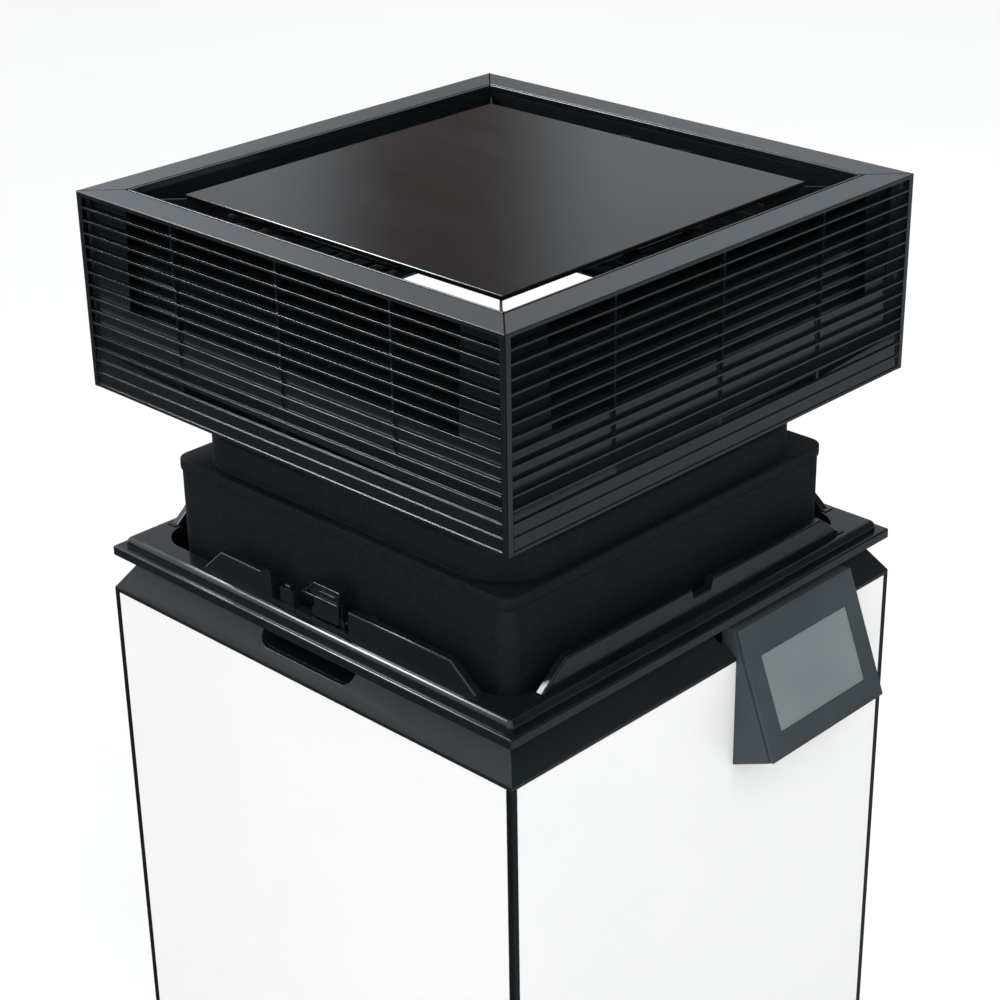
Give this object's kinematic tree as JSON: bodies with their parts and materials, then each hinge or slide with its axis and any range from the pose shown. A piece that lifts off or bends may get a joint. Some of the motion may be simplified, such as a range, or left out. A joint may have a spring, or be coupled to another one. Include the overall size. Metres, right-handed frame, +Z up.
{
  "type": "air purifier",
  "caption": "Square white floor-standing room air purifier with a black louvred outlet hood that lifts straight off, top ring with guide fins and catch, foam fan box and angled display.",
  "frame": {"origin": "on the floor under the middle of the square cabinet, at the sole of the centre foot", "axes": "+Z up; the front with the display faces -Y; the hood catch is on the -X side"},
  "size_m": [0.35, 0.3814, 0.8257],
  "materials": {
    "rubber_foot": "matt rubber",
    "post_black": "satin black",
    "inner_black": "matt black moulding",
    "white_panel": "smooth satin white lacquer",
    "hood_black": "satin black moulded louvre",
    "plinth_black": "fine texture black",
    "mat_grey": "open non-woven mat",
    "shoulder_black": "satin black",
    "ring_black": "satin black with rounded bright edges",
    "steel": "bright steel",
    "switch_black": "satin black",
    "foam_black": "fine grained expanded foam",
    "wire_black": "black powder coat",
    "zinc_sheet": "plain zinc plated sheet",
    "impeller_grey": "glass filled nylon",
    "aluminium_can": "cast, lightly bead blasted",
    "filter_white": "pleated filter paper",
    "gasket_foam": "soft foam strip",
    "board_green": "printed circuit board",
    "pod_grey": "matt dark grey",
    "screen_glass": "grey touch screen, off",
    "gloss_black": "high gloss black"
  },
  "bodies": {
    "cabinet": {"base_plinth": "plinth_black", "bearing_lower": "steel", "bearing_upper": "steel", "control_board": "board_green", "corner_post_1": "post_black", "corner_post_2": "post_black", "corner_post_3": "post_black", "corner_post_4": "post_black", "display_board": "board_green", "display_glass": "screen_glass", "display_housing": "pod_grey", "electronics_plate": "zinc_sheet", "fan_deck": "zinc_sheet", "filter_frame": "inner_black", "filter_gasket": "gasket_foam", "filter_media": "filter_white", "foam_box_case": "foam_black", "foam_box_lid": "foam_black", "foot_1": "rubber_foot", "foot_2": "rubber_foot", "foot_3": "rubber_foot", "foot_4": "rubber_foot", "foot_centre": "rubber_foot", "grip_cup_left": "inner_black", "grip_cup_right": "inner_black", "inlet_nozzle": "inner_black", "interlock_switch": "switch_black", "latch_pin": "steel", "latch_spring": "steel", "mains_inlet": "switch_black", "motor_can": "aluminium_can", "motor_spider": "zinc_sheet", "outlet_guard": "wire_black", "panel_back": "white_panel", "panel_front": "white_panel", "panel_left": "white_panel", "panel_right": "white_panel", "power_supply": "inner_black", "prefilter_mat": "mat_grey", "shoulder_frame": "shoulder_black", "top_ring": "ring_black"},
    "hood": {"hood_catch": "inner_black", "hood_corner_brace_1": "inner_black", "hood_corner_brace_2": "inner_black", "hood_corner_brace_3": "inner_black", "hood_corner_brace_4": "inner_black", "hood_side_back": "hood_black", "hood_side_front": "hood_black", "hood_side_left": "hood_black", "hood_side_right": "hood_black", "hood_top_panel": "gloss_black", "panel_bracket_back": "inner_black", "panel_bracket_front": "inner_black", "panel_bracket_left": "inner_black", "panel_bracket_right": "inner_black"},
    "fan_rotor": {"impeller": "impeller_grey", "motor_shaft": "steel"},
    "catch_hook": {"latch_hook": "ring_black"},
    "switch_plunger": {"interlock_plunger": "switch_black"},
    "mains_rocker": {"rocker_key": "switch_black"}
  },
  "joints": [
    {"name": "hood_lift", "type": "slide", "parent": "cabinet", "child": "hood", "axis": [0, 0, 1], "range_m": [-0.11, 0.12]},
    {"name": "fan_spin", "type": "hinge", "parent": "cabinet", "child": "fan_rotor", "pos_m": [0, 0, 0.42], "axis": [0, 0, 1], "continuous": true},
    {"name": "catch_press", "type": "hinge", "parent": "cabinet", "child": "catch_hook", "pos_m": [-0.156, -0.0125, 0.602], "axis": [0, 1, 0], "range_deg": [0, 8], "stiffness_Nm_per_rad": 0.15},
    {"name": "plunger_press", "type": "slide", "parent": "cabinet", "child": "switch_plunger", "axis": [0, 0, 1], "range_m": [-0.003, 0], "stiffness_N_per_m": 150},
    {"name": "rocker_tilt", "type": "hinge", "parent": "cabinet", "child": "mains_rocker", "pos_m": [0.0165, 0.162, 0.0345], "axis": [1, 0, 0], "range_deg": [0, 14]}
  ]
}
